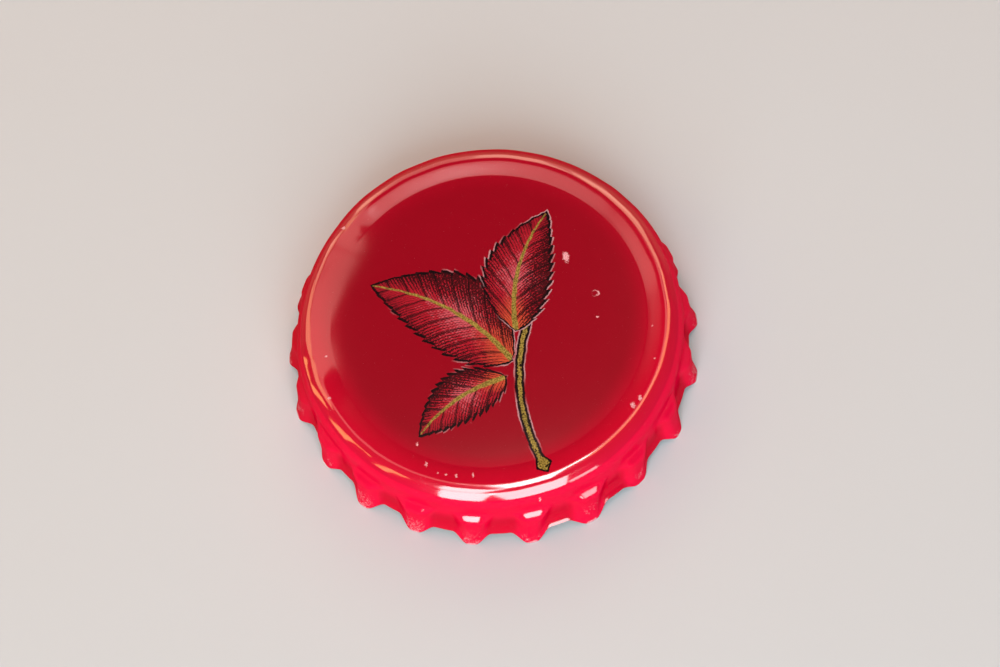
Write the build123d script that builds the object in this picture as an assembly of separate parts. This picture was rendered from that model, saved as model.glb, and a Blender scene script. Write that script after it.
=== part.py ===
from build123d import *
import os
from math import asin, atan2, cos, degrees, hypot, pi, sin

os.makedirs("parts", exist_ok=True)

# Driving sizes of the drawn top, in millimetres
cap_height = 6.0            # resting plane to the crest of the rim
sheet = 0.235               # thickness of the tinplate
wall_bore_radius = 13.375   # inside of the smooth wall under the shoulder
shoulder_radius = 1.33      # outside bend from the crest of the rim down to the wall
panel_sink = 0.15           # the flat panel lies this far below the crest
panel_fillet = 1.2          # hollow bend from the panel up to the rim
rim_ramp = 1.0              # straight part of the rim that rises gently from the panel to the crest
wall_land = 0.87            # height of the smooth wall between the shoulder and the flutes

# Driving sizes of the fluted skirt
flute_count = 21
tip_radius = 14.8           # outside of a flute at its tip
valley_radius = 14.0        # outside of a valley at the cut edge
edge_arch = 0.8             # the cut edge arches up this far between two tips
flute_blunt = 1.2           # power that blunts a flute's ridge
flute_foot = 0.75           # share of half a pitch at which its flank meets the valley
flute_spring = 0.42         # a ridge springs out this far from the wall at the top of the flutes
spring_drop = 0.2           # share of the skirt's height in which it does so
tip_flare = 2.2             # power that flares a ridge from there to its tip
valley_flare = 3.0          # power that flares a valley to the cut edge

# Driving sizes of the moulded liner
liner_reach = 0.25          # the liner's edge lies this far outside the crest of the rim
liner_floor = 0.3           # thickness of the disc inside the bead
bead_width = 2.0            # width of the bead at its crown
bead_height = 1.0           # from the panel's inside face down to the crown of the bead
bead_draft = 0.3            # the bead's inner side leans this far over its height
bead_bevel = 0.35           # bevelled edges of the bead's crown

# How finely the wavy sections are drawn
points_per_flute = 14
skirt_levels = 10

wall_radius = wall_bore_radius + sheet
bend_centre_radius = wall_radius - shoulder_radius
bend_centre_height = cap_height - shoulder_radius
panel_top = cap_height - panel_sink
flute_top = bend_centre_height - wall_land
both_bends = shoulder_radius + panel_fillet
rim_slope = atan2(both_bends, rim_ramp) - asin((both_bends - panel_sink) / hypot(both_bends, rim_ramp))
rim_reach = both_bends * sin(rim_slope) + rim_ramp * cos(rim_slope)
liner_radius = bend_centre_radius + liner_reach


def top_line(inset, lean):
    """Half section of the drawn top, from the axis round the crest until it leans this far down."""
    crest = shoulder_radius - inset
    hollow = panel_fillet + inset
    panel = Line((0, panel_top - inset), (bend_centre_radius - rim_reach, panel_top - inset))
    hollow_bend = JernArc(panel @ 1, panel % 1, hollow, degrees(rim_slope))
    ramp = Line(hollow_bend @ 1, hollow_bend @ 1 + (hollow_bend % 1) * rim_ramp)
    shoulder = JernArc(ramp @ 1, ramp % 1, crest, -degrees(lean + rim_slope))
    return [panel, hollow_bend, ramp, shoulder]


def wall_line(inset):
    """Half section of the whole unfluted part: the drawn top and the smooth wall below it."""
    top = top_line(inset, pi / 2)
    return top + [Line(top[-1] @ 1, (wall_radius - inset, flute_top))]


def flute_share(turn):
    """1 on the ridge of a flute, 0 in a valley, for an angle in radians."""
    pitches = flute_count * turn / (2 * pi)
    across = 2 * abs(pitches - round(pitches))
    flank = min(across / flute_foot, 1) ** flute_blunt
    return (1 + cos(pi * flank)) / 2


def skirt_point(turn, drop):
    """Point on the outside of the skirt: drop is 0 at the top of the flutes, 1 at the cut edge."""
    share = flute_share(turn)
    spring = flute_spring * sin(pi / 2 * min(drop / spring_drop, 1))
    valley = wall_radius + (valley_radius - wall_radius) * drop**valley_flare
    ridge = wall_radius + spring + (tip_radius - wall_radius - flute_spring) * drop**tip_flare
    radius = valley + (ridge - valley) * share
    height = flute_top - (flute_top - edge_arch * (1 - share)) * drop
    return Vector(radius * cos(turn), radius * sin(turn), height)


def skirt_section(drop, inset):
    """Closed wavy wire round the skirt, moved inwards by inset square to the sheet."""
    count = flute_count * points_per_flute
    step = 2 * pi / count
    nudge = step / 50           # small turn either way that gives the direction along the wave
    points = []
    for i in range(count):
        turn = i * step
        point = skirt_point(turn, drop)
        along = skirt_point(turn + nudge, drop) - skirt_point(turn - nudge, drop)
        outward = Vector(along.Y, -along.X, 0).normalized()
        points.append(point - outward * inset)
    return Wire([Edge.make_spline(points, periodic=True)])


def skirt_side(inset):
    """One side of the skirt sheet, lofted through wavy sections from the wall to the cut edge."""
    drops = [i / skirt_levels for i in range(skirt_levels + 1)]
    return Shell.make_loft([skirt_section(drop, inset) for drop in drops])


def make_shell():
    """The whole stamping: drawn top, fluted skirt and cut edge, sewn into one solid."""
    faces = []
    for inset in (0, sheet):
        faces += [Face.revolve(Plane.XZ * edge, 360, Axis.Z) for edge in wall_line(inset)]
        faces += skirt_side(inset).faces()
    cut_edge = Shell.make_loft([skirt_section(1, 0), skirt_section(1, sheet)], ruled=True)
    return Solid(Shell(faces + cut_edge.faces()))


def make_liner():
    """Sealing compound moulded against the inside of the top: a disc with a bead round its edge."""
    lean = asin((liner_radius - bend_centre_radius) / (shoulder_radius - sheet))
    back = top_line(sheet, lean)
    seat = panel_top - sheet
    crown = seat - bead_height
    floor = seat - liner_floor
    bead_inner = liner_radius - bead_width
    outer_side = Line(back[-1] @ 1, (liner_radius, crown))
    crown_line = Line(outer_side @ 1, (bead_inner, crown))
    inner_side = Line(crown_line @ 1, (bead_inner - bead_draft, floor))
    floor_line = Line(inner_side @ 1, (0, floor))
    axis_line = Line(floor_line @ 1, back[0] @ 0)
    section = make_face(back + [outer_side, crown_line, inner_side, floor_line, axis_line])
    crown_corners = section.vertices().group_by(Axis.Y)[0]
    section = chamfer(crown_corners, bead_bevel)
    return revolve(Plane.XZ * section, Axis.Z)


export_step(make_shell(), "parts/shell.step")
export_step(make_liner(), "parts/liner.step")
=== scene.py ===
from math import asin, atan2, cos, hypot, pi, radians, sin

import bpy
import numpy as np
from mathutils import Matrix, Vector
from mathutils.bvhtree import BVHTree


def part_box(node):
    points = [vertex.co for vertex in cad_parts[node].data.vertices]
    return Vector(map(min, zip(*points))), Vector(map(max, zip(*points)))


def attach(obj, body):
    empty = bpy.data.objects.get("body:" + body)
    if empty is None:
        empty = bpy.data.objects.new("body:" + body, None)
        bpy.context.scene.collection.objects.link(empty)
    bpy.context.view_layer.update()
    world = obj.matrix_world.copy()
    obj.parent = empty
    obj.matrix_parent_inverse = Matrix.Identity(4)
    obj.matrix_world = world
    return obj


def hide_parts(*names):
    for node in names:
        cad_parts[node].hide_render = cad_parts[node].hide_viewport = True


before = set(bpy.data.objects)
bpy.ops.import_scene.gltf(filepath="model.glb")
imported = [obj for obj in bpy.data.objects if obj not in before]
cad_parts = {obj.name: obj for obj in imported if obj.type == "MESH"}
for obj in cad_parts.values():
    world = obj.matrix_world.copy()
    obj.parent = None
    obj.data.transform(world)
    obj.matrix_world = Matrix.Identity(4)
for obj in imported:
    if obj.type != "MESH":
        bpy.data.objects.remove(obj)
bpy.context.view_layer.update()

mm = 0.001
_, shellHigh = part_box("shell")
linerLow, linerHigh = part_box("liner")
crestHeight = shellHigh[2] / mm
tipRadius = shellHigh[0] / mm                # one flute stands on +X, so the box ends at its tip
print("frame loaded: crest %.2f mm, tips %.2f mm" % (crestHeight, tipRadius))
print("liner: %.2f to %.2f mm up" % (linerLow[2] / mm, linerHigh[2] / mm))


def addObject(name, data):
    made = bpy.data.objects.new(name, data)
    bpy.context.collection.objects.link(made)
    return made


# Camera: fitted to the rim and the flute tips of the photograph

photo = {
    "width": 1000,
    "height": 667,
    "focal": 2200,                           # pixels
    "distance": 155.2,                       # mm from the point looked at
    "elevation": 66.8,
    "roll": 8.9,
    "target": (0.67, -0.1, 3.0),             # mm
    "sensor": 36,                            # mm
    "clip": (0.01, 20),                      # metres
}


def cameraAxes():
    tilt, roll = radians(photo["elevation"]), radians(photo["roll"])
    forward = Vector((0, cos(tilt), -sin(tilt)))
    level = Vector((1, 0, 0))
    rise = level.cross(forward)
    right = level * cos(roll) - rise * sin(roll)
    up = level * sin(roll) + rise * cos(roll)
    place = Vector(photo["target"]) - forward * photo["distance"]
    return place, right, up, forward


def addCamera():
    place, right, up, forward = cameraAxes()
    data = bpy.data.cameras.new("photoCamera")
    data.sensor_width = photo["sensor"]
    data.lens = photo["focal"] / photo["width"] * photo["sensor"]
    data.clip_start, data.clip_end = photo["clip"]
    camera = addObject("photoCamera", data)
    turn = Matrix((right, up, -forward)).transposed().to_4x4()
    camera.matrix_world = Matrix.Translation(place * mm) @ turn
    bpy.context.scene.camera = camera


def photoRay(x, y):                          # ray in mm through a pixel of the photograph
    place, right, up, forward = cameraAxes()
    across = (x - photo["width"] / 2) / photo["focal"]
    rise = (photo["height"] / 2 - y) / photo["focal"]
    return place, (forward + right * across + up * rise).normalized()


addCamera()
print("camera set")


# Shader writing: sums on values become Math nodes

class Value:
    def __init__(self, tree, socket):
        self.tree, self.socket = tree, socket

    def math(self, operation, *terms, clamp=False):
        node = self.tree.nodes.new("ShaderNodeMath")
        node.operation = operation
        node.use_clamp = clamp
        for slot, term in zip(node.inputs, terms):
            plug(self.tree, slot, term)
        return Value(self.tree, node.outputs[0])

    def __add__(self, other):
        return self.math("ADD", self, other)

    def __sub__(self, other):
        return self.math("SUBTRACT", self, other)

    def __mul__(self, other):
        return self.math("MULTIPLY", self, other)

    def __truediv__(self, other):
        return self.math("DIVIDE", self, other)

    def __pow__(self, other):
        return self.math("POWER", self, other)

    def __lt__(self, other):
        return self.math("LESS_THAN", self, other)

    def __radd__(self, other):
        return self.math("ADD", other, self)

    def __rsub__(self, other):
        return self.math("SUBTRACT", other, self)

    def __rmul__(self, other):
        return self.math("MULTIPLY", other, self)

    def __rtruediv__(self, other):
        return self.math("DIVIDE", other, self)

    def __abs__(self):
        return self.math("ABSOLUTE", self)

    def sine(self):
        return self.math("SINE", self)

    def most(self, other):
        return self.math("MAXIMUM", self, other)

    def fraction(self):
        return self.math("FRACT", self)

    def clamped(self):
        return self.math("ADD", self, 0, clamp=True)


def plug(tree, slot, term):
    if isinstance(term, Value):
        tree.links.new(term.socket, slot)
    elif isinstance(term, tuple) and slot.type == "RGBA" and len(term) == 3:
        slot.default_value = (*term, 1)
    else:
        slot.default_value = term


class Finish:                                # one material or sky and the nodes that paint it
    def __init__(self, name, kind="materials"):
        self.material = getattr(bpy.data, kind).new(name)
        self.material.use_nodes = True
        self.tree = self.material.node_tree
        self.tree.nodes.clear()

    def node(self, kind, settings=None, sockets=None, out=0):
        made = self.tree.nodes.new(kind)
        for name, setting in (settings or {}).items():
            setattr(made, name, setting)
        for slot, term in (sockets or {}).items():
            plug(self.tree, made.inputs[slot], term)
        return Value(self.tree, made.outputs[out])

    def attribute(self, name):
        return self.node("ShaderNodeAttribute", {"attribute_name": name}, out="Vector")

    def split(self, vector):
        made = self.node("ShaderNodeSeparateXYZ", sockets={"Vector": vector})
        return [Value(self.tree, slot) for slot in made.socket.node.outputs]

    def noise(self, vector, scale, detail=2.0, roughness=0.5, out="Fac"):
        sockets = {"Vector": vector, "Scale": scale, "Detail": detail, "Roughness": roughness}
        return self.node("ShaderNodeTexNoise", sockets=sockets, out=out)

    def cells(self, vector, scale):          # distance from the middle of the nearest cell
        sockets = {"Vector": vector, "Scale": scale}
        return self.node("ShaderNodeTexVoronoi", {"feature": "F1"}, sockets, out="Distance")

    def stretched(self, vector, scale, turn=0.0):
        sockets = {"Vector": vector, "Rotation": (0, 0, turn), "Scale": scale}
        return self.node("ShaderNodeMapping", sockets=sockets)

    def rise(self, value, low, high):        # smooth step from 0 at low to 1 at high
        sockets = {"Value": value, "From Min": low, "From Max": high}
        return self.node("ShaderNodeMapRange", {"interpolation_type": "SMOOTHSTEP"}, sockets)

    def blend(self, factor, first, second):
        settings = {"data_type": "RGBA", "blend_type": "MIX"}
        return self.node("ShaderNodeMix", settings, {0: factor, 6: first, 7: second}, out=2)

    def shift(self, vector, push, amount):   # vector pushed about by a noise colour
        centred = self.node("ShaderNodeVectorMath", {"operation": "SUBTRACT"},
                            {0: push, 1: (0.5, 0.5, 0.5)})
        return self.node("ShaderNodeVectorMath", {"operation": "MULTIPLY_ADD"},
                         {0: centred, 1: (amount, amount, amount), 2: vector})

    def bump(self, height, distance):
        sockets = {"Height": height, "Distance": distance, "Strength": 1.0}
        return self.node("ShaderNodeBump", sockets=sockets)

    def principled(self, sockets):
        shader = self.node("ShaderNodeBsdfPrincipled", sockets=sockets)
        output = self.tree.nodes.new("ShaderNodeOutputMaterial")
        self.tree.links.new(shader.socket, output.inputs["Surface"])
        return self.material


def tone(red, green, blue):                  # a colour given in screen values, 0 to 255
    return tuple(((c / 255 + 0.055) / 1.055) ** 2.4 if c > 10 else c / 255 / 12.92
                 for c in (red, green, blue))


# Shell: one stamped sheet, its flutes a little uneven from crimping and prying

shell = {
    "sheet": 0.235,                          # mm, as all the lengths here
    "wallBore": 13.375,
    "shoulderBend": 1.33,
    "panelBend": 1.2,
    "panelSink": 0.15,
    "ramp": 1.0,                             # straight part of the rim, rising gently to its crest
    "wallLand": 0.87,
    "flutes": 21,
    "valleyRadius": 13.78,
    "edgeArch": 0.8,
    "blunt": 0.1,                            # share of half a pitch that a tip is flat
    "foot": 0.74,                            # where a flute's flank meets the valley
    "spring": (0.56, 0.24),                  # how far a flute springs out at its top, and by what drop
    "tipFlare": 2.2,
    "valleyFlare": 2.0,
    "scoop": (0.22, 0.09, 0.32),             # curl of a valley's edge: how far, give or take, over what drop
    "deepScoops": {15: 0.30, 16: 0.44, 17: 0.46},        # valleys in front that curl out further
    "columnsPerFlute": 36,
    "outsideRows": (9, 4, 22, 24),           # rows over the panel, its bend, the shoulder and the skirt
    "insideRows": (5, 3, 13, 18),
    "edgeRows": (0.25, 0.5, 0.75),           # rows across the sheared edge
    "sharpFrom": 38,
    "burr": 0.03,                            # rounding of the sheared edge
    "crowding": (1.7, 236, 48),              # degrees of turn, about which place, how wide
    "fluteSeed": 21,
    "rippleSeed": 8,
    "tipsPushedIn": (0.01, 0.25),            # by prying: the least, and how much more at most
    "tipsKnown": {0: 0, 8: 0.01, 9: 0.01, 10: 0.075, 11: 0.075},  # set by the photo and the CAD box
    "flutesWidened": 0.12,                   # how much a flute's width varies
    "ripple": 0.035,                         # how far the flutes' start waves the shoulder
    "rippleShares": (0.55, 0.22),            # of waves with the flutes, and of seeded ones
    "topSpread": (0.2, 0.2),                 # a flute's ridge and foot are this much wider at its top
    "pressed": (164, 31, 20),                # rim flattened by prying: where, how wide, how softly
    "sag": (9.5, 11.0, 146, 36, 0.056),      # from which radius, at first and at last, where, how wide, slope
    "pressedIn": (148, 27.5, 0.24),          # wall pushed in there: where, how wide, how far
}
wallRadius = shell["wallBore"] + shell["sheet"]
bendCentre = (wallRadius - shell["shoulderBend"], crestHeight - shell["shoulderBend"])
bends = shell["shoulderBend"] + shell["panelBend"]
rimSlope = atan2(bends, shell["ramp"]) - asin((bends - shell["panelSink"]) / hypot(bends, shell["ramp"]))
panelReach = bendCentre[0] - bends * sin(rimSlope) - shell["ramp"] * cos(rimSlope)
panelHeight = crestHeight - shell["panelSink"]
fluteTop = bendCentre[1] - shell["wallLand"]
columns = shell["flutes"] * shell["columnsPerFlute"]
turns = np.arange(columns) * 2 * pi / columns


def fluteOdds():                             # seeded differences between the flutes
    random = np.random.default_rng(shell["fluteSeed"])
    least, more = shell["tipsPushedIn"]
    tipIn = random.random(shell["flutes"]) ** 1.5 * more + least
    widened = 1 + (random.random(shell["flutes"]) - 0.5) * 2 * shell["flutesWidened"]
    for number, amount in shell["tipsKnown"].items():
        tipIn[number] = amount
    far, vary, _ = shell["scoop"]
    scooped = far + (random.random(shell["flutes"]) - 0.5) * 2 * vary
    for number, amount in shell["deepScoops"].items():
        scooped[number] = amount
    return tipIn, widened, scooped


def crowd(turn):                             # flutes drawn apart and together by the prying
    amount, place, width = (radians(v) for v in shell["crowding"])
    away = (turn - place + pi) % (2 * pi) - pi
    return -amount * (away / width) * np.exp(0.5 - 0.5 * (away / width) ** 2)


def smooth(value):                           # smooth step from 0 at 0 to 1 at 1
    value = np.clip(value, 0, 1)
    return value * value * (3 - 2 * value)


def ringPoints(radius, turn, height):
    return np.stack([radius * np.cos(turn), radius * np.sin(turn), height], -1)


def shadeSmooth(mesh, sharpFrom):            # degrees between faces that shade as an edge
    mesh.polygons.foreach_set("use_smooth", np.ones(len(mesh.polygons), dtype=bool))
    mesh.set_sharp_from_angle(angle=radians(sharpFrom))


def skirtPoints(turn, drop):                 # outside of the skirt, in mm
    tipIn, widened, scooped = fluteOdds()
    pitch = 2 * pi / shell["flutes"]
    number = np.round(turn / pitch).astype(int)
    valleyNumber = np.floor(turn / pitch).astype(int) % shell["flutes"]
    across = np.abs(turn - number * pitch) / pitch * 2
    number %= shell["flutes"]
    bluntTop, footTop = (spread * (1 - drop) ** 3 for spread in shell["topSpread"])
    foot = np.minimum(shell["foot"] * widened[number] + footTop, 0.98)
    blunt = shell["blunt"] + bluntTop
    share = 1 - smooth((across - blunt) / (foot - blunt))
    out, by = shell["spring"]
    spring = out * smooth(drop / by)
    valley = wallRadius + (shell["valleyRadius"] - wallRadius) * drop ** shell["valleyFlare"]
    lastDrop = shell["scoop"][2]
    valley = valley + scooped[valleyNumber] * np.maximum((drop - 1) / lastDrop + 1, 0) ** 2
    flare = tipRadius - tipIn[number] - wallRadius - out
    tip = wallRadius + spring + flare * drop ** shell["tipFlare"]
    radius = valley + (tip - valley) * share
    height = fluteTop - (fluteTop - shell["edgeArch"] * (1 - share)) * drop
    height = height + shell["burr"] * drop
    place = turn + crowd(turn) * drop
    return ringPoints(radius, place, height), share


def skirtRow(drop, inset):
    nudge = 2 * pi / columns / 4
    points, share = skirtPoints(turns, drop)
    along = skirtPoints(turns + nudge, drop)[0] - skirtPoints(turns - nudge, drop)[0]
    outward = np.stack([along[:, 1], -along[:, 0]], -1)
    outward /= np.linalg.norm(outward, axis=1)[:, None]
    points[:, :2] -= outward * inset
    return points, share


def rippleOdds():                            # seeded waves round the rim, 0 to 1
    random = np.random.default_rng(shell["rippleSeed"])
    withFlutes, seeded = shell["rippleShares"]
    wave = withFlutes * np.cos(shell["flutes"] * turns)
    for count in range(3, 34, 2):
        wave += random.normal() * seeded * np.cos(count * turns + random.random() * 2 * pi)
    return 0.5 + 0.5 * np.tanh(wave)


def pressedDown(radius, height, around, inset=0.0):  # change of height where prying flattened the rim
    place, width, soft = shell["pressed"]
    turned = np.degrees(around)
    amount = 1 - smooth((np.abs(turned - place) - width) / soft + 0.5)
    first, last, begins, lasts, slope = shell["sag"]
    beyond = radius - first - (last - first) * smooth((turned - begins) / lasts)
    crestBeyond = beyond + bendCentre[0] - radius
    if radius > bendCentre[0]:
        left = max(height - bendCentre[1], 0) / (shell["shoulderBend"] - inset)
        return -amount * left * (shell["panelSink"] + slope * crestBeyond)
    sagged = slope * (beyond + np.sqrt(beyond ** 2 + 0.1)) / 2
    return amount * (panelHeight - inset - sagged - height)


def pushedIn(reach):                         # how far prying pushed the wall in, all round
    place, width, far = shell["pressedIn"]
    away = (np.degrees(turns) - place + 180) % 360 - 180
    begins, lasts = bendCentre[0] + 0.27, 1.1
    return far * np.exp(-((away / width) ** 2)) * smooth((reach - begins) / lasts)


def topProfile(inset, panelRings, hollowSteps, shoulderSteps):
    crest = shell["shoulderBend"] - inset    # rows of radius, height and lean, axis first
    hollow = shell["panelBend"] + inset
    floor = panelHeight - inset
    rows = [(panelReach * ring, floor, 0) for ring in np.linspace(0, 1, panelRings + 1)[1:] ** 0.75]
    leans = np.linspace(0, rimSlope, hollowSteps + 1)[1:]
    rows += [(panelReach + hollow * sin(a), floor + hollow * (1 - cos(a)), -a) for a in leans]
    radius, height, _ = rows[-1]
    for step in (0.3, 0.6, 0.85):
        along = shell["ramp"] * step
        rows.append((radius + along * cos(rimSlope), height + along * sin(rimSlope), -rimSlope))
    leans = np.linspace(-rimSlope, pi / 2, shoulderSteps + 1)
    rows += [(bendCentre[0] + crest * sin(a), bendCentre[1] + crest * cos(a), a) for a in leans]
    return rows


def sheetSide(inset, panelRings, hollowSteps, shoulderSteps, skirtSteps):
    points, flutePlace, reach = [], [], []   # one row each: points, mask values, blank radius
    travelled, last = 0.0, (0.0, panelHeight - inset)
    ripple = rippleOdds() * shell["ripple"]
    for radius, height, lean in topProfile(inset, panelRings, hollowSteps, shoulderSteps):
        travelled += ((radius - last[0]) ** 2 + (height - last[1]) ** 2) ** 0.5
        last = (radius, height)
        wave = ripple * smooth((radius - bendCentre[0] + 0.4) / (shell["shoulderBend"] + 0.3))
        out = radius - wave * sin(lean) - pushedIn(radius)
        level = height - wave * cos(lean) + pressedDown(radius, height, turns, inset)
        points.append(ringPoints(out, turns, level))
        flutePlace.append(np.zeros((columns, 3)))
        reach.append(travelled)
    wallFoot = travelled + shell["wallLand"]
    for drop in np.linspace(0, 1, skirtSteps + 1) ** 1.2:
        row, share = skirtRow(drop, inset)
        wave = ripple * (1 - smooth(drop / 0.35))
        row[:, :2] *= 1 - ((wave + pushedIn(wallRadius) * (1 - drop) ** 2) / wallRadius)[:, None]
        points.append(row)
        flutePlace.append(np.stack([share, np.full(columns, drop), np.zeros(columns)], -1))
        reach.append(wallFoot + drop * fluteTop)
    return points, flutePlace, reach


def buildShell():
    outside = sheetSide(0, *shell["outsideRows"])
    inside = sheetSide(shell["sheet"], *shell["insideRows"])
    rows, places, reaches = (list(part) for part in outside)
    outerCount = len(rows)
    bottomOut, bottomIn = outside[0][-1], inside[0][-1]
    for across in shell["edgeRows"]:         # the sheared edge, slightly rounded
        row = bottomOut + (bottomIn - bottomOut) * across
        row[:, 2] -= shell["burr"] * sin(pi * across) ** 0.5
        rows.append(row)
        places.append(outside[1][-1])
        reaches.append(outside[2][-1] + shell["sheet"] * across)
    edgeEnd = len(rows)
    rows += inside[0][::-1]
    places += inside[1][::-1]
    reaches += inside[2][::-1]

    rings = np.array(rows).reshape(-1, 3)
    centres = [(0, 0, panelHeight), (0, 0, panelHeight - shell["sheet"])]
    verts = np.concatenate([rings, centres])
    topCentre, underCentre = len(rings), len(rings) + 1
    faces, islands = [], []                  # island 0 outside, 1 inside, 2 cut edge
    here = np.arange(columns)
    beside = (here + 1) % columns
    for a, b in zip(here, beside):
        faces.append((topCentre, a, b))
        islands.append(0)
    for row in range(len(rows) - 1):
        island = 0 if row < outerCount - 1 else (2 if row < edgeEnd else 1)
        low, high = row * columns, (row + 1) * columns
        for a, b in zip(here, beside):
            faces.append((low + a, high + a, high + b, low + b))
            islands.append(island)
    lastRow = (len(rows) - 1) * columns
    for a, b in zip(here, beside):
        faces.append((underCentre, lastRow + b, lastRow + a))
        islands.append(1)

    mesh = bpy.data.meshes.new("cap_shell")
    mesh.from_pydata((verts * mm).tolist(), [], [tuple(int(i) for i in f) for f in faces])
    blank = np.zeros((len(verts), 3))
    for row, reach in enumerate(reaches):
        part = slice(row * columns, (row + 1) * columns)
        blank[part, 0], blank[part, 1] = reach * np.cos(turns), reach * np.sin(turns)
    flute = np.zeros((len(verts), 3))
    flute[: len(rings)] = np.array(places).reshape(-1, 3)
    for name, values in (("blank", blank), ("flute", flute)):
        layer = mesh.attributes.new(name, "FLOAT_VECTOR", "POINT")
        layer.data.foreach_set("vector", values.astype(np.float32).ravel())
    layMap(mesh, blank, np.array(islands), max(reaches))
    mesh.polygons.foreach_set("material_index", np.array(islands, dtype=np.int32))
    shadeSmooth(mesh, shell["sharpFrom"])
    return addObject("cap_shell", mesh), verts, faces, blank


bakeMap = {
    "outside": (0.325, 0.325, 0.318),        # centre and radius of its island in the bake
    "inside": (0.815, 0.815, 0.175),
}


def layMap(mesh, blank, islands, fullReach):
    layer = mesh.uv_layers.new(name="OFBake")
    corners = np.zeros(len(mesh.loops), dtype=np.int32)
    mesh.loops.foreach_get("vertex_index", corners)
    sizes = np.zeros(len(mesh.polygons), dtype=np.int32)
    mesh.polygons.foreach_get("loop_total", sizes)
    onInside = np.repeat(islands == 1, sizes)
    flat = blank[corners, :2] / fullReach
    outX, outY, outR = bakeMap["outside"]
    inX, inY, inR = bakeMap["inside"]
    uv = np.where(onInside[:, None], flat * inR + (inX, inY), flat * outR + (outX, outY))
    layer.data.foreach_set("uv", uv.astype(np.float32).ravel())


shellPiece, shellVerts, shellFaces, shellBlank = buildShell()
print("shell built: %d faces" % len(shellFaces))


# Wear: places on the photograph, put on the sheet where the pixel's ray meets it

wear = {
    "chips": [                               # pixel x, y, half width, half height, both in pixels
        (566, 257, 3.4, 6.5),
        (597, 317, 2.0, 1.3),
        (652, 325, 1.3, 1.3),
        (655, 358, 1.3, 1.6),
        (640, 398, 2.0, 3.6),
        (633, 405, 2.6, 4.2),
        (417, 444, 1.7, 1.7),
        (426, 464, 1.4, 3.0),
        (438, 473, 1.6, 1.2),
        (446, 475, 1.8, 1.2),
        (456, 476, 1.4, 1.8),
        (473, 475, 1.2, 2.8),
        (540, 500, 1.0, 4.0),
        (343, 228, 2.4, 1.2),
        (326, 357, 1.4, 1.4),
        (329, 398, 2.2, 1.2),
    ],
    "ring": (595, 293, 3.2),                 # open ring mark: pixel x, y, radius
    "rubbed": (-0.53, -0.85, 0.86),          # side whose ridges are rubbed most, and how narrowly
    "pixelsPerMm": 14.0,
}


def onSheet(x, y):                           # blank place of the sheet under a photo pixel
    start, direction = photoRay(x, y)
    hit = sheetTree.ray_cast(start, direction)
    if hit[0] is None:
        return None
    corners = shellFaces[hit[2]]
    nearest = min(corners, key=lambda i: (Vector(shellVerts[i]) - hit[0]).length)
    away = Vector(shellVerts[nearest]) - hit[0]
    return shellBlank[nearest][0] - away.x, shellBlank[nearest][1] - away.y


sheetTree = BVHTree.FromPolygons([tuple(v) for v in shellVerts], shellFaces)


# The print: a plain botanical sprig on the panel

sprig = {
    "leaves": [                              # base x, y, heading, length, half width, bend
        (1.2, -3.4, 141, 11.4, 2.9, 0.10),
        (1.8, -1.2, 68, 9.2, 2.3, -0.10),
        (0.6, -4.6, 207, 7.2, 1.75, 0.09),
    ],
    "stem": (15.4, -6.6, 14.0, 148, 200),    # arc centre x, y, radius, first and last angle
    "stemHalfWidth": 0.22,
    "teeth": 13,                             # along each side of a leaf
    "toothDepth": 0.32,
    "veinSpacing": 1.35,
    "line": 0.11,                            # half width of the dark outline
    "keyline": 0.09,                         # width of the pale line outside it
    "ink": tone(24, 12, 16),
    "pale": tone(222, 176, 184),
    "fillDark": tone(98, 16, 30),
    "fillMid": tone(190, 30, 50),
    "fillLight": tone(226, 108, 122),
    "glow": tone(236, 104, 66),
    "olive": tone(112, 100, 40),
    "gold": tone(198, 172, 84),
}


def screenDots(x, y):                        # dots of the printing screen, -1 to 1
    return (x * lacquer["screen"]).sine() * (y * lacquer["screen"]).sine()


def leafMasks(finish, place, leaf):
    baseX, baseY, heading, length, halfWidth, bend = leaf
    x, y, _ = finish.split(place)
    turn = radians(heading)
    x, y = x - baseX, y - baseY
    along = (x * cos(turn) + y * sin(turn)) / length
    inLeaf = along.clamped()
    across = y * cos(turn) - x * sin(turn) + inLeaf * (1 - inLeaf) * (4 * bend * length)
    side = abs(across)
    taper = ((inLeaf**0.8) * pi).sine().most(0) ** 0.85
    teeth = (inLeaf * sprig["teeth"] - side * 0.35).fraction()
    edge = taper * (halfWidth - sprig["toothDepth"] / 2) + teeth * taper * sprig["toothDepth"]
    over = abs(along - inLeaf) * length      # how far past the tip or the base
    inside = edge - side - over
    rib = (1 - inLeaf) * 0.15 + 0.05
    midrib = finish.rise(rib - side, -0.03, 0.03)
    veinPlace = inLeaf * length - side * (1.25 - side * 0.12)
    vein = abs((veinPlace / sprig["veinSpacing"]).fraction() - 0.5)
    veinLine = finish.rise(0.055 - vein + (1 - side / halfWidth) * 0.015, 0, 0.03)
    return {"inside": inside, "midrib": midrib, "vein": veinLine, "across": across,
            "along": inLeaf, "side": side, "slant": veinPlace, "halfWidth": halfWidth}


def stemMask(finish, place):                 # mm inside the stem's edge
    centreX, centreY, radius, first, last = sprig["stem"]
    x, y, _ = finish.split(place)
    x, y = x - centreX, y - centreY
    away = (x * x + y * y) ** 0.5
    angle = finish.node("ShaderNodeMath", {"operation": "ARCTAN2"}, {0: y, 1: x}) * (180 / pi)
    angle = angle + (angle < 0) * 360
    middle, half = (first + last) / 2, (last - first) / 2
    over = (abs(angle - middle) - half).most(0) * (radius * pi / 180)
    swell = finish.rise(angle, last - 3.2, last) * 0.3
    return swell + sprig["stemHalfWidth"] - abs(away - radius) - over


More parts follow.
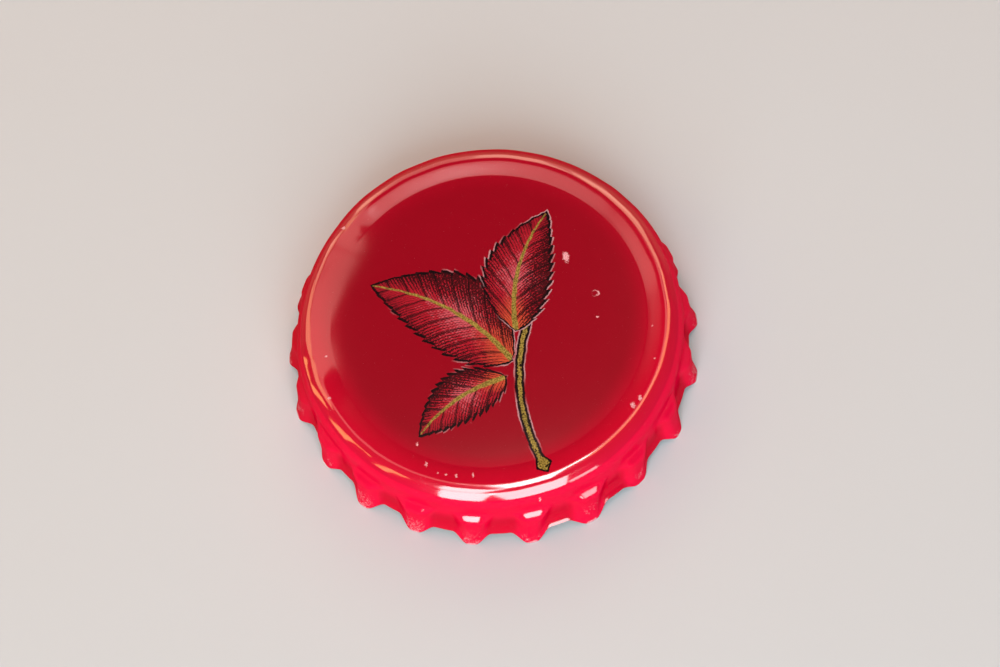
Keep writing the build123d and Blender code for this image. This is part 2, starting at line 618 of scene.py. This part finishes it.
def paintSprig(finish, place, ground):
    wobble = finish.noise(place, 1.6, 3, out="Color")
    place = finish.shift(place, wobble, 0.22)
    fine = finish.noise(place, 9, 3)
    grain = finish.noise(place, 2.2, 4)
    dots = finish.cells(place, 8.5)
    x, y, _ = finish.split(place)
    screen = screenDots(x, y)
    haloed = finish.rise(finish.noise(place, 0.28, 1) + x * 0.02, 0.42, 0.6)
    line, key = sprig["line"], sprig["keyline"]
    stem = stemMask(finish, place) + (fine - 0.5) * 0.1
    colour = finish.blend(finish.rise(stem, -0.2, -0.15) * haloed * 0.8, ground, sprig["pale"])
    colour = finish.blend(finish.rise(stem, -0.12, -0.06), colour, sprig["ink"])
    gilt = finish.blend(finish.rise(fine, 0.35, 0.65), sprig["olive"], sprig["gold"])
    stemTone = finish.blend(finish.rise(grain - dots * 0.4, 0.4, 0.46), gilt, sprig["ink"])
    colour = finish.blend(finish.rise(stem + fine * 0.1, 0.1, 0.18), colour, stemTone)
    for leaf in sprig["leaves"]:
        mask = leafMasks(finish, place, leaf)
        inside = mask["inside"] + (fine - 0.5) * 0.12
        shade = mask["side"] / mask["halfWidth"]
        light = (1 - abs(mask["along"] - 0.42) * 2.1) * 0.55 + grain * 0.75 - shade * 0.45
        fill = finish.blend(finish.rise(light, 0.0, 0.5), sprig["fillDark"], sprig["fillMid"])
        fill = finish.blend(finish.rise(light + screen * 0.16, 0.55, 0.95), fill, sprig["fillLight"])
        warmth = finish.rise(0.36 - mask["along"] + grain * 0.4 - shade * 0.4, 0.1, 0.5)
        fill = finish.blend(warmth * 0.75, fill, sprig["glow"])
        hatch = (mask["slant"] * 3.7 + fine * 0.35).fraction()
        lower = finish.rise(mask["across"] * -1, -0.3, 1.2) * 0.36 + shade * 0.5
        hatched = finish.rise(lower - hatch + grain * 0.3, 0.0, 0.12) * finish.rise(fine, 0.34, 0.46)
        stipple = finish.rise(lower * 0.7 - dots + 0.12, 0, 0.08)
        fill = finish.blend(hatched.most(stipple) * 0.86, fill, sprig["ink"])
        fill = finish.blend(mask["vein"] * 0.85, fill, sprig["ink"])
        fill = finish.blend(mask["midrib"], fill, gilt)
        halo = finish.rise(inside, -line - key - 0.03, -line - key) * haloed * 0.85
        colour = finish.blend(halo, colour, sprig["pale"])
        edge = inside + (dots - 0.4) * 0.12
        colour = finish.blend(finish.rise(inside, -line - 0.03, -line + 0.02), colour, sprig["ink"])
        colour = finish.blend(finish.rise(edge, line - 0.04, line + 0.02), colour, fill)
    return colour


# Lacquer of the outside and the inside, and the bare cut edge

lacquer = {
    # Panel, rim and skirt are one lacquer: the panel's copy is darker and the rim's and skirt's lighter,
    # painted shade and light for how each faces the lamps.
    "panel": (tone(158, 3, 28), tone(173, 7, 36)),
    "rim": (tone(216, 5, 44), tone(232, 9, 56)),
    "skirt": (tone(238, 5, 56), tone(252, 10, 72)),
    "shadeSide": (tone(198, 3, 34), tone(216, 6, 44)),        # painted shade: the skirt darker towards the back and left
    "litSideFrom": (0.34, -0.94),               # painted light: direction of the side whose skirt is left lighter
    "valleyShadeTone": tone(206, 2, 40),                # painted shade, low in the valleys between the flutes
    "bare": (tone(232, 128, 142), tone(248, 208, 214)),  # base coat where the lacquer has chipped
    "inside": (tone(196, 188, 168), tone(214, 206, 184)),
    "insideStreaks": tone(160, 152, 134),
    "cutEdge": (tone(168, 152, 150), tone(226, 214, 208)),
    "metallic": 0.12,
    "edgeTint": (1.0, 0.08, 0.14),
    "roughness": 0.38,
    "coatIndex": 2.5,
    "coatOnWall": 0.06,                      # the gloss coat is thin where the sheet stands upright
    "coatOnFlutes": 0.45,                    # and rubbed dull on the flutes, but for the front
    "coatRoughness": 0.09,
    "peel": 0.009,                           # mm of orange peel
    "screen": 2 * pi / 0.26,                 # the printing screen's dots, 0.26 mm apart
}


def chipMask(finish, place):
    scale = wear["pixelsPerMm"]
    rough = finish.noise(place, 5.5, 3, out="Color")
    place = finish.shift(place, rough, 0.34)
    flaky = (finish.noise(place, 12, 3) - 0.5) * 1.1
    x, y, _ = finish.split(place)
    total = None
    for px, py, wide, tall in wear["chips"]:
        spot = onSheet(px, py)
        if spot is None:
            continue
        dx = (x - spot[0]) / (wide / scale)
        dy = (y - spot[1]) / (tall / scale)
        chip = 1.0 - (dx * dx + dy * dy) ** 0.5
        total = chip if total is None else total.most(chip)
    px, py, radius = wear["ring"]
    spot = onSheet(px, py)
    dx, dy = x - spot[0], y - spot[1]
    ring = 0.035 - abs((dx * dx + dy * dy) ** 0.5 - radius / scale) + dx * 0.12
    return finish.rise(total + flaky, 0.0, 0.35).most(finish.rise(ring, 0, 0.02) * 0.8)


def outsideLacquer():
    finish = Finish("crimson_lacquer")
    place = finish.attribute("blank")
    share, drop, _ = finish.split(finish.attribute("flute"))
    cloudy = finish.noise(place, 0.5, 4)
    grain = finish.noise(place, 14, 2)
    mottle = cloudy * 0.6 + grain * 0.4
    x, y, _ = finish.split(place)
    reach = (x * x + y * y) ** 0.5
    # Painted light: the rim turns to its lighter tone fully at the front and only partly at the back.
    towardsFront = finish.rise(y / reach * -1, -0.8, 0.7) * 0.6 + 0.4
    rimPaintedLight = finish.rise(reach, panelReach - 1.4, panelReach + 1.4) * towardsFront
    screen = screenDots(x, y)
    panel = finish.blend(mottle * 0.7 + screen * 0.12 + 0.15, *lacquer["panel"])
    colour = finish.blend(rimPaintedLight, panel, finish.blend(mottle, *lacquer["rim"]))
    onSkirt = finish.rise(reach, panelReach + 1.2, panelReach + 3.0)
    # Painted light and shade: the skirt is lighter towards the front and right and darker towards the back
    # and left, for how light falls on it.
    litX, litY = lacquer["litSideFrom"]
    litShare = finish.rise((x * litX + y * litY) / reach, -0.6, 0.4)
    shadedSkirtTone = finish.blend(mottle, *lacquer["shadeSide"])
    skirt = finish.blend(litShare, shadedSkirtTone, finish.blend(mottle, *lacquer["skirt"]))
    colour = finish.blend(onSkirt, colour, skirt)
    # Painted shade: darker low in the valleys, away from the flutes' ridges.
    shadeInValleys = finish.rise(drop, 0.1, 0.6) * (1 - finish.rise(share, 0.0, 0.5))
    colour = finish.blend(shadeInValleys * 0.75, colour, lacquer["valleyShadeTone"])
    colour = paintSprig(finish, place, colour)

    chips = chipMask(finish, place)
    rubGrain = finish.cells(place, 9.5) + (finish.noise(place, 3.5, 2) - 0.5) * 0.5
    ridge = finish.rise(share, 0.45, 0.95) * finish.rise(drop, 0.2, 0.85)
    patchy = finish.rise(finish.noise(place, 0.55, 2), 0.45, 0.62)
    rubX, rubY, rubReach = wear["rubbed"]
    onRubbed = finish.rise((x * rubX + y * rubY) / reach, rubReach, 1.0)
    rubbed = finish.rise(ridge * patchy.most(onRubbed) * 0.44 - rubGrain, -0.05, 0.05)
    tipWear = finish.rise(drop * share + (finish.noise(place, 3, 3) - 0.5) * 0.07, 0.93, 0.97)
    tipWear = tipWear * finish.rise(finish.noise(place, 0.3, 1), 0.38, 0.5)
    bare = chips.most(rubbed * 0.8).most(tipWear * 0.85)
    bareTone = finish.blend(finish.rise(grain, 0.4, 0.62), *lacquer["bare"])
    colour = finish.blend(bare, colour, bareTone)

    _, _, lean = finish.split(finish.node("ShaderNodeNewGeometry", out="Normal"))
    facingUp = finish.rise(lean - y / reach * 0.12, 0.69, 0.80)
    front = finish.rise((x * 0.087 - y) / reach, 0.90, 0.96)
    dulled = finish.rise(drop, 0.0, 0.05) * (1 - front) * (1 - lacquer["coatOnFlutes"])
    glossy = facingUp * (1 - dulled)
    scuff = finish.noise(finish.stretched(place, (1.4, 9, 1), 0.6), 1.0, 4)
    rough = finish.rise(scuff, 0.45, 0.8) * 0.05 + lacquer["roughness"] + bare * 0.2
    fine = onSkirt * 0.4 + 0.04
    peel = finish.noise(place, 1.3, 2) * 0.8 + finish.noise(place, 9, 2) * fine - bare * 0.9
    return finish.principled({
        "Base Color": colour,
        "Metallic": (1 - bare) * lacquer["metallic"],
        "Roughness": rough,
        "Specular IOR Level": 0.0,
        "Specular Tint": lacquer["edgeTint"],
        "Coat Weight": (1 - bare * 0.8) * (lacquer["coatOnWall"] + glossy * (1 - lacquer["coatOnWall"])),
        "Coat Roughness": lacquer["coatRoughness"],
        "Coat IOR": lacquer["coatIndex"],
        "Normal": finish.bump(peel, lacquer["peel"] * mm),
    })


def insideLacquer():
    finish = Finish("inside_lacquer")
    place = finish.attribute("blank")
    cloudy = finish.noise(place, 0.7, 4)
    rolled = finish.noise(finish.stretched(place, (0.6, 14, 1)), 1.0, 3)
    colour = finish.blend(cloudy, *lacquer["inside"])
    colour = finish.blend(rolled * 0.35, colour, lacquer["insideStreaks"])
    return finish.principled({
        "Base Color": colour,
        "Metallic": 0.85,
        "Roughness": rolled * 0.14 + 0.3,
        "Normal": finish.bump(rolled, 0.002 * mm),
    })


def cutEdge():
    finish = Finish("sheared_edge")
    place = finish.attribute("blank")
    share, _, _ = finish.split(finish.attribute("flute"))
    grain = finish.noise(place, 12, 3)
    colour = finish.blend(grain, *lacquer["cutEdge"])
    red = finish.rise(finish.noise(place, 1.1, 3) + (1 - share) * 0.25, 0.5, 0.62)
    colour = finish.blend(red * 0.75, colour, lacquer["panel"][0])
    return finish.principled({
        "Base Color": colour,
        "Metallic": 0.9 - red * 0.7,
        "Roughness": grain * 0.2 + 0.35,
        "Normal": finish.bump(grain, 0.01 * mm),
    })


for material in (outsideLacquer(), insideLacquer(), cutEdge()):
    shellPiece.data.materials.append(material)
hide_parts("shell")
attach(shellPiece, "root")
print("shell finished")


# Liner: moulded compound with a sealing bead that a bottle mouth has marked

liner = {
    "reach": 0.25,                           # mm from the crest of the rim out to the edge of the bead
    "floor": 0.3,
    "beadWidth": 2.0,
    "beadHeight": 1.0,
    "beadDraft": 0.3,
    "beadRound": 0.38,
    "dent": (0.07, 0.34),                    # depth and half width of the mouth's mark
    "rings": (0.018, 1.15),                  # height and spacing of the moulded rings
    "fillet": 0.2,                           # hollow bend from the disc down to the bead
    "middle": 0.02,                          # radius at which the rows start, closed by a small face
    "columns": 360,
    "sharpFrom": 40,
    "compound": (tone(214, 214, 208), tone(228, 227, 220)),
    "stain": tone(196, 178, 150),
}


def linerProfile():                          # radius and height, from the axis under the disc
    seat = panelHeight - shell["sheet"]
    outer = bendCentre[0] + liner["reach"]
    crown = seat - liner["beadHeight"]
    floor = seat - liner["floor"]
    inner = outer - liner["beadWidth"]
    foot = inner - liner["beadDraft"]
    corner, fillet = liner["beadRound"], liner["fillet"]
    ringHeight, ringSpacing = liner["rings"]
    rows = []
    for radius in np.linspace(liner["middle"], foot - fillet - 0.05, 70):
        ripple = 0.5 + 0.5 * cos(2 * pi * radius / ringSpacing)
        rows.append((radius, floor + ringHeight * ripple**6))
    for step in np.linspace(0, pi / 2, 7):
        rows.append((foot - fillet * (1 - sin(step)), floor - fillet * (1 - cos(step))))
    lean = np.linspace(0, pi / 2, 9)
    for step in lean:
        rows.append((inner + corner - corner * cos(step), crown + corner - corner * sin(step)))
    middle = (inner + outer) / 2
    depth, half = liner["dent"]
    for radius in np.linspace(inner + corner, outer - corner, 22)[1:-1]:
        pressed = depth * np.exp(-((radius - middle) / half) ** 2)
        rows.append((radius, crown + pressed))
    for step in lean[::-1]:
        rows.append((outer - corner + corner * cos(step), crown + corner - corner * sin(step)))
    crest = shell["shoulderBend"] - shell["sheet"]
    lastLean = asin((outer - bendCentre[0]) / crest)
    for step in np.linspace(lastLean, -rimSlope, 6):
        rows.append((bendCentre[0] + crest * sin(step), bendCentre[1] + crest * cos(step)))
    hollow = shell["panelBend"] + shell["sheet"]
    for step in np.linspace(rimSlope, 0, 5):
        rows.append((panelReach + hollow * sin(step), seat + hollow * (1 - cos(step))))
    rows.append((liner["middle"], seat))
    return rows


def buildLiner():
    rows = linerProfile()
    count = liner["columns"]
    around = np.arange(count) * 2 * pi / count
    back = panelHeight - shell["sheet"] - 0.01           # from here up it follows the pressed rim
    rings = []
    for radius, height in rows:
        level = height + (height >= back) * pressedDown(radius, height, around, shell["sheet"])
        rings.append(ringPoints(radius, around, level))
    verts = np.concatenate(rings)
    faces = []
    for row in range(len(rows) - 1):
        low, high = row * count, (row + 1) * count
        for c in range(count):
            beside = (c + 1) % count
            faces.append((low + c, low + beside, high + beside, high + c))
    faces.append(tuple(range(count))[::-1])
    faces.append(tuple((len(rows) - 1) * count + c for c in range(count)))
    mesh = bpy.data.meshes.new("seal_liner")
    mesh.from_pydata((verts * mm).tolist(), [], faces)
    shadeSmooth(mesh, liner["sharpFrom"])
    return addObject("seal_liner", mesh)


def sealingCompound():
    finish = Finish("sealing_compound")
    place = finish.node("ShaderNodeTexCoord", out="Object")
    cloudy = finish.noise(place, 220, 3)
    grain = finish.noise(place, 2600, 2)
    stain = finish.rise(finish.noise(place, 130, 4), 0.52, 0.75)
    colour = finish.blend(cloudy, *liner["compound"])
    colour = finish.blend(stain * 0.25, colour, liner["stain"])
    return finish.principled({
        "Base Color": colour,
        "Roughness": grain * 0.12 + 0.42,
        "Subsurface Weight": 0.15,
        "Subsurface Radius": (0.0006, 0.0006, 0.0005),
        "Normal": finish.bump(grain + cloudy, 0.006 * mm),
    })


linerPiece = buildLiner()
linerPiece.data.materials.append(sealingCompound())
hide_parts("liner")
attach(linerPiece, "root")
print("liner built")


# Stage: a pale floor and soft lamps

stage = {
    "floorSize": 3.0,                        # metres
    "floor": tone(210, 219, 225),
    "floorMottle": tone(205, 202, 198),
    "sky": tone(56, 54, 54),
    "mirrored": tone(24, 22, 22),            # the part of the sky that the panel mirrors
    "mirroredTowards": (0.40, 0.9165),       # its direction: back and up
    "warmSky": tone(184, 128, 106),          # low at the back
    "lampDistance": 0.5,                     # metres
    "lamps": {                               # azimuth, elevation, width, height, radiance, colour
        "window_top": (90, 88, 0.22, 0.075, 7.0, (0.96, 0.98, 0.99)),
        "window_left_high": (-31, 66, 0.11, 0.18, 4.4, (0.96, 0.98, 0.99)),
        "window_left": (-24, 30, 0.16, 0.46, 4.4, (0.96, 0.98, 0.99)),
        "window_right": (9, 33, 0.25, 0.44, 3.8, (0.95, 0.98, 0.99)),
        "window_low": (30, 13, 0.08, 0.14, 2.4, (0.95, 0.98, 0.99)),
        "back_strip": (180, 38, 0.50, 0.24, 0.7, (1.0, 0.62, 0.50)),
        "right_strip": (127, 66, 0.09, 0.28, 2.0, (1.0, 0.52, 0.24)),
        "glint_back_right": (149, 46, 0.15, 0.24, 1.6, (1.0, 0.66, 0.42)),
        "glint_back": (171, 38, 0.10, 0.18, 1.2, (1.0, 0.68, 0.46)),
        "glint_back_left": (-156, 42, 0.12, 0.22, 1.4, (1.0, 0.62, 0.38)),
        "glint_left": (-134, 50, 0.12, 0.22, 1.6, (1.0, 0.60, 0.32)),
        "lamp_left": (-106, 29, 0.065, 0.26, 2.6, (1.0, 0.56, 0.18)),
        "lamp_front_left": (-83, 36, 0.065, 0.26, 2.6, (1.0, 0.56, 0.18)),
        "lamp_front": (-60, 42, 0.05, 0.24, 2.6, (1.0, 0.56, 0.20)),
    },
    "ceilingHeight": 0.5,                    # metres
    "ceilings": {                            # x, y, width, depth, radiance, colour
        "ceiling": (0.0, 0.126, 0.30, 0.076, 0.64, (1.0, 0.62, 0.54)),
        "ceiling_left": (-0.110, 0.191, 0.088, 0.054, 0.85, (1.0, 0.52, 0.44)),
        "ceiling_left_back": (-0.122, 0.259, 0.080, 0.082, 0.85, (1.0, 0.52, 0.44)),
        "ceiling_right": (0.105, 0.205, 0.086, 0.082, 0.9, (1.0, 0.54, 0.46)),
    },
}


def addFloor():
    half = stage["floorSize"] / 2
    corners = [(-half, -half, 0), (half, -half, 0), (half, half, 0), (-half, half, 0)]
    mesh = bpy.data.meshes.new("floor")
    mesh.from_pydata(corners, [], [(0, 1, 2, 3)])
    finish = Finish("pale_floor")
    place = finish.node("ShaderNodeTexCoord", out="Object")
    mottled = finish.noise(place, 60, 4)
    colour = finish.blend(mottled * 0.12, stage["floor"], stage["floorMottle"])
    mesh.materials.append(finish.principled({"Base Color": colour, "Roughness": 0.7}))
    floor = addObject("floor", mesh)


def addLamp(name, width, height, radiance, colour, place):
    data = bpy.data.lights.new(name, "AREA")
    data.shape = "RECTANGLE"
    data.size, data.size_y = width, height
    data.energy = radiance * pi * width * height
    data.color = colour
    addObject(name, data).matrix_world = place


def towardsCap(azimuth, elevation):          # azimuth from the front, going round to the right
    side, rise = radians(azimuth), radians(elevation)
    away = Vector((sin(side) * cos(rise), -cos(side) * cos(rise), sin(rise)))
    level = Vector((cos(side), sin(side), 0))
    turn = Matrix((level, away.cross(level), away)).transposed().to_4x4()
    return Matrix.Translation(away * stage["lampDistance"]) @ turn


def addSky():
    sky = Finish("soft_sky", "worlds")
    bpy.context.scene.world = sky.material
    x, y, z = sky.split(sky.node("ShaderNodeTexCoord", out="Generated"))
    low = sky.rise(z, -0.05, 0.1) * (1 - sky.rise(z, 0.35, 0.75))
    warm = low * sky.rise(y, 0.3, 0.75)
    back, up = stage["mirroredTowards"]
    dark = sky.rise(y * back + z * up, 0.92, 0.966)
    colour = sky.blend(warm, stage["sky"], stage["warmSky"])
    colour = sky.blend(dark, colour, stage["mirrored"])
    shine = sky.node("ShaderNodeBackground", sockets={"Color": colour})
    output = sky.tree.nodes.new("ShaderNodeOutputWorld")
    sky.tree.links.new(shine.socket, output.inputs["Surface"])


addFloor()
addSky()
for name, (azimuth, elevation, *settings) in stage["lamps"].items():
    addLamp(name, *settings, towardsCap(azimuth, elevation))
for name, (x, y, *settings) in stage["ceilings"].items():
    addLamp(name, *settings, Matrix.Translation((x, y, stage["ceilingHeight"])))
bpy.context.scene.view_settings.view_transform = "Standard"
print("stage lit")
